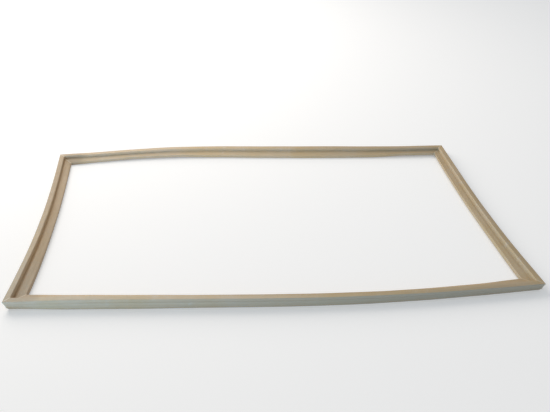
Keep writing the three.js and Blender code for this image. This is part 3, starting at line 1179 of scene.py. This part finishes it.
@dataclass
class Sweeper:
    """Carries sections along the frame's path; the swell and the waves are in millimetres."""

    profile: Profile
    path: FramePath
    tree: SweepTree
    weld_swell: float = 0.22
    wave_size: float = 1.2
    wave_scale: float = 9.0

    def rail(self, name: str, stations: list[Station]) -> Piece:
        """Makes the helper that holds the stations' values."""
        numbers = {label: [getattr(s, label) * MM for s in stations] for label in ("drop", "curl", "tuck")}
        for label in ("tilt", "pull", "weld", "strip"):
            numbers[label] = [getattr(s, label) for s in stations]
        vectors = {
            "mitre": [s.mitre.to_3d() for s in stations],
            "foot": [s.foot.to_3d() * MM for s in stations],
        }
        return point_object(name, [s.spot.to_3d() * MM for s in stations], numbers, vectors)

    def section(self, name: str, outline: list[Vector]) -> Piece:
        """Makes the helper that holds the section's values."""
        profile, facings = self.profile, outline_normals(outline)
        numbers = {
            "crest": [profile.crest_share(p) for p in outline],
            "wing": [profile.wing_share(p) for p in outline],
            "fold": [profile.fold_share(p) for p in outline],
            "slack": [profile.outer_slack(p) * MM for p in outline],
            "face": [float(p.y > profile.crest - profile.edge_radius) for p in outline],
            "wall": [profile.wall_share(p, facing) for p, facing in zip(outline, facings)],
        }
        return point_object(name, [p.to_3d() * MM for p in outline], numbers, {"facing": facings})

    def point(self, station: Station, turn: Vector) -> Vector:
        """Where the sweep puts one point of the section, apart from the slight waves.

        Args:
            station: the ring.
            turn: the point, inwards and up.

        Returns:
            Its place in millimetres.
        """
        profile = self.profile
        crest, wing = profile.crest_share(turn), profile.wing_share(turn)
        arm = turn.x - station.tuck * wing - profile.pocket_width / 2
        rise = turn.y - profile.pocket_base
        cosine, sine = math.cos(station.tilt * crest), math.sin(station.tilt * crest)
        inwards = profile.pocket_width / 2 + arm * cosine - rise * sine
        height = profile.pocket_base + arm * sine + rise * cosine
        height += station.drop * crest + station.curl * wing
        flat = station.spot + station.mitre * inwards + station.foot * (1 - height / profile.crest)
        return Vector((flat.x, flat.y, height))

    def sweep(self, name: str, outline: list[Vector], stations: list[Station], closed: bool,
              material: bpy.types.Material, swell: float = 0.0) -> Piece:
        """Carries one outline along some stations.

        Args:
            name: the new piece's name.
            outline: the outline, counterclockwise.
            stations: where its rings stand.
            closed: whether the last ring joins the first.
            material: the piece's material.
            swell: how far the welds at the corners stand proud, in millimetres.

        Returns:
            The piece as a plain mesh.
        """
        profile = self.profile
        rail = self.rail(name + "_rail", stations)
        section = self.section(name + "_section", outline)
        live = new_object(name + "_live", bpy.data.meshes.new(name + "_live"))
        piece = self.tree.run(live, name, {
            "Path": rail,
            "Section": section,
            "Path Points": len(stations),
            "Rows": len(stations) + int(closed),
            "Section Points": len(outline),
            "Crest Height": profile.crest * MM,
            "Tilt Pivot Inwards": profile.pocket_width / 2 * MM,
            "Tilt Pivot Height": profile.pocket_base * MM,
            "Weld Swell": swell * MM,
            "Wave Size": self.wave_size * MM,
            "Wave Scale": self.wave_scale,
            "Material": material,
        })
        bpy.data.objects.remove(rail)
        bpy.data.objects.remove(section)
        return piece


@dataclass(frozen=True)
class Vents:
    """The small holes that let air out of the pocket, the bellows and the wing, in millimetres."""

    diameter: float = 3.0
    sides: int = 24
    overcut: float = 1.0
    pocket_offset: float = 18.7
    bellows_inwards: float = 5.85
    wing_inwards: float = 22.3

    def spots(self, sweeper: Sweeper) -> list[Vector]:
        """Places the holes: one in each side's pocket floor and two in its web.

        Args:
            sweeper: knows where the sides run.

        Returns:
            The middles of the holes, in metres.
        """
        profile, path = sweeper.profile, sweeper.path
        floor = profile.pocket_base + profile.pocket_wall / 2
        web = profile.dart_height + profile.web_thickness / 2
        spots = []
        for side in range(4):
            corner_end = path.station(side, self.pocket_offset / path.side_length(side))
            middle = path.station(side, 0.5)
            for station, inwards, height in (
                (corner_end, self.bellows_inwards, floor),
                (middle, self.bellows_inwards, web),
                (middle, self.wing_inwards, web),
            ):
                spots.append(sweeper.point(station, Vector((inwards, height))) * MM)
        return spots

    def cut(self, piece: Piece, sweeper: Sweeper, material: bpy.types.Material) -> Piece:
        """Cuts the holes.

        Args:
            piece: the frame, which is removed.
            sweeper: knows where the sides run.
            material: what the frame is made of.

        Returns:
            The frame with its holes.
        """
        name = piece.name
        piece.name = name + "_plain"
        middles = point_object("vent_middles", self.spots(sweeper), {}, {})
        made = VentTree(self.sides).run(piece, name, {
            "Middles": middles,
            "Radius": self.diameter / 2 * MM,
            "Length": (sweeper.profile.web_thickness + 2 * self.overcut) * MM,
            "Material": material,
        })
        made.data.materials.clear()
        made.data.materials.append(material)
        bpy.data.objects.remove(middles)
        return made


@dataclass
class SealFrame:
    """The welded PVC frame: its skin, and the chambers of the magnet pocket, the bellows and the wing."""

    node: str = "seal_frame"

    def build(self, sweeper: Sweeper, material: bpy.types.Material) -> Piece:
        """Sweeps the section round the closed path.

        Args:
            sweeper: carries the outlines.
            material: the PVC.

        Returns:
            The finished piece.
        """
        profile, stations = sweeper.profile, sweeper.path.stations()
        shells = []
        for name, outline, swell in (
            ("skin", profile.skin_outline(), sweeper.weld_swell),
            ("pocket", profile.pocket_outline(), 0.0),
            ("bellows", profile.bellows_outline(), 0.0),
            ("wing", profile.wing_outline(), 0.0),
        ):
            shell = sweeper.sweep(name, outline, stations, True, material, swell)
            face_shell(shell, hollow=bool(shells))
            shells.append(shell)
        piece = Vents().cut(merge_pieces("pvc_frame", shells), sweeper, material)
        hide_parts(self.node)
        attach(piece, BODY)
        return piece


@dataclass
class MagnetStrips:
    """The four ferrite strips in the pocket."""

    nodes: tuple[str, ...] = (
        "magnet_strip_near", "magnet_strip_right", "magnet_strip_far", "magnet_strip_left",
    )

    def build(self, sweeper: Sweeper, material: bpy.types.Material) -> list[Piece]:
        """Sweeps one strip along each side, square at its ends.

        Args:
            sweeper: carries the outline.
            material: the ferrite rubber.

        Returns:
            The four strips.
        """
        strips = []
        outline = sweeper.profile.magnet_outline()
        for side, node in enumerate(self.nodes):
            name = "ferrite_" + node.removeprefix("magnet_")
            strip = sweeper.sweep(name, outline, sweeper.path.strip_stations(side), False, material)
            face_shell(strip, hollow=False)
            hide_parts(node)
            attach(strip, BODY)
            strips.append(strip)
        return strips


@dataclass(frozen=True)
class Light:
    """A soft square light that looks at a spot, in metres, watts and degrees."""

    name: str
    spot: Triple
    size: float
    power: float
    colour: Triple
    aim: Triple = (0.0, 0.0, 0.0)
    spread: float = 180.0
    gasket_only: bool = False

    def build(self) -> Piece:
        """Makes the light."""
        data = bpy.data.lights.new(self.name, "AREA")
        data.size = self.size
        data.energy = self.power
        data.color = self.colour
        data.spread = math.radians(self.spread)
        light = new_object(self.name, data)
        light.location = self.spot
        light.rotation_euler = (Vector(self.aim) - Vector(self.spot)).to_track_quat("-Z", "Y").to_euler()
        return light


@dataclass(frozen=True)
class Studio:
    """Pale floor, soft light and the camera, in metres, degrees and pixels."""

    frame_width: float = 550.0
    focal_pixels: float = 540.0
    centre_shift: float = 50.0
    sensor: float = 36.0
    camera_spot: Triple = (-0.144, -1.0427, 0.785)
    camera_pitch: float = 35.9
    camera_yaw: float = 2.75
    floor_half: float = 6.0
    floor_colour: Triple = (0.82, 0.88, 0.95)
    floor_dullness: float = 0.9
    floor_glow: float = 0.24
    air_colour: Triple = (1.0, 0.985, 0.96)
    air_strength: float = 0.42
    lights: tuple[Light, ...] = (
        Light("key", spot=(-1.25, 1.8, 1.45), size=2.2, power=60.0, colour=(1.0, 0.87, 0.74)),
        Light(
            "fill", spot=(-1.45, -1.25, 0.65), size=1.2, power=35.0, colour=(0.28, 0.61, 1.0),
            gasket_only=True,
        ),
        Light(
            "bounce", spot=(-0.05, -0.28, 0.75), size=0.5, power=1.0, colour=(1.0, 0.88, 0.70),
            aim=(-0.2, 0.3, 0.0), spread=90.0, gasket_only=True,
        ),
    )

    def camera(self) -> None:
        """Makes the camera at the photograph's angle and framing."""
        data = bpy.data.cameras.new("camera")
        data.sensor_width = self.sensor
        data.lens = self.focal_pixels / self.frame_width * self.sensor
        data.shift_x = self.centre_shift / self.frame_width
        camera = new_object("camera", data)
        camera.location = self.camera_spot
        camera.rotation_euler = (math.radians(90 - self.camera_pitch), 0.0, math.radians(-self.camera_yaw))
        bpy.context.scene.camera = camera

    def floor(self) -> None:
        """Makes the plain pale floor."""
        half = self.floor_half
        mesh = bpy.data.meshes.new("floor")
        corners = [(-half, -half, 0), (half, -half, 0), (half, half, 0), (-half, half, 0)]
        mesh.from_pydata(corners, [], [(0, 1, 2, 3)])
        floor = new_object("floor", mesh)
        material = bpy.data.materials.new("pale_floor")
        material.use_nodes = True
        shader = material.node_tree.nodes["Principled BSDF"]
        shader.inputs["Base Color"].default_value = (*self.floor_colour, 1.0)
        shader.inputs["Roughness"].default_value = self.floor_dullness
        shader.inputs["Emission Color"].default_value = (1.0, 1.0, 1.0, 1.0)
        shader.inputs["Emission Strength"].default_value = self.floor_glow
        mesh.materials.append(material)

    def world(self) -> None:
        """Sets the even light from all round."""
        world = bpy.data.worlds.new("studio_air")
        world.use_nodes = True
        air = world.node_tree.nodes["Background"]
        air.inputs["Color"].default_value = (*self.air_colour, 1.0)
        air.inputs["Strength"].default_value = self.air_strength
        bpy.context.scene.world = world
        bpy.context.scene.view_settings.view_transform = "Standard"

    def build(self, piece: Piece) -> None:
        """Sets up the camera, the floor and the lights.

        Args:
            piece: the gasket, which alone is lit by the two front lights, so that the floor stays neutral.
        """
        self.camera()
        self.floor()
        self.world()
        lit = bpy.data.collections.new("lit_by_front_lights")
        lit.objects.link(piece)
        for light in self.lights:
            made = light.build()
            if light.gasket_only:
                made.light_linking.receiver_collection = lit


def main() -> None:
    """Builds every piece in order and reports it."""
    logging.basicConfig(level=logging.INFO, format="%(name)s: %(message)s")
    sweeper = Sweeper(Profile(), FramePath(), SweepTree())
    seal = SealFrame().build(sweeper, PvcFinish().material())
    log.info("%s: %d faces", seal.name, len(seal.data.polygons))
    Studio().build(seal)
    for strip in MagnetStrips().build(sweeper, MagnetFinish().material()):
        log.info("%s: %d faces", strip.name, len(strip.data.polygons))


if __name__ == "__main__":
    main()
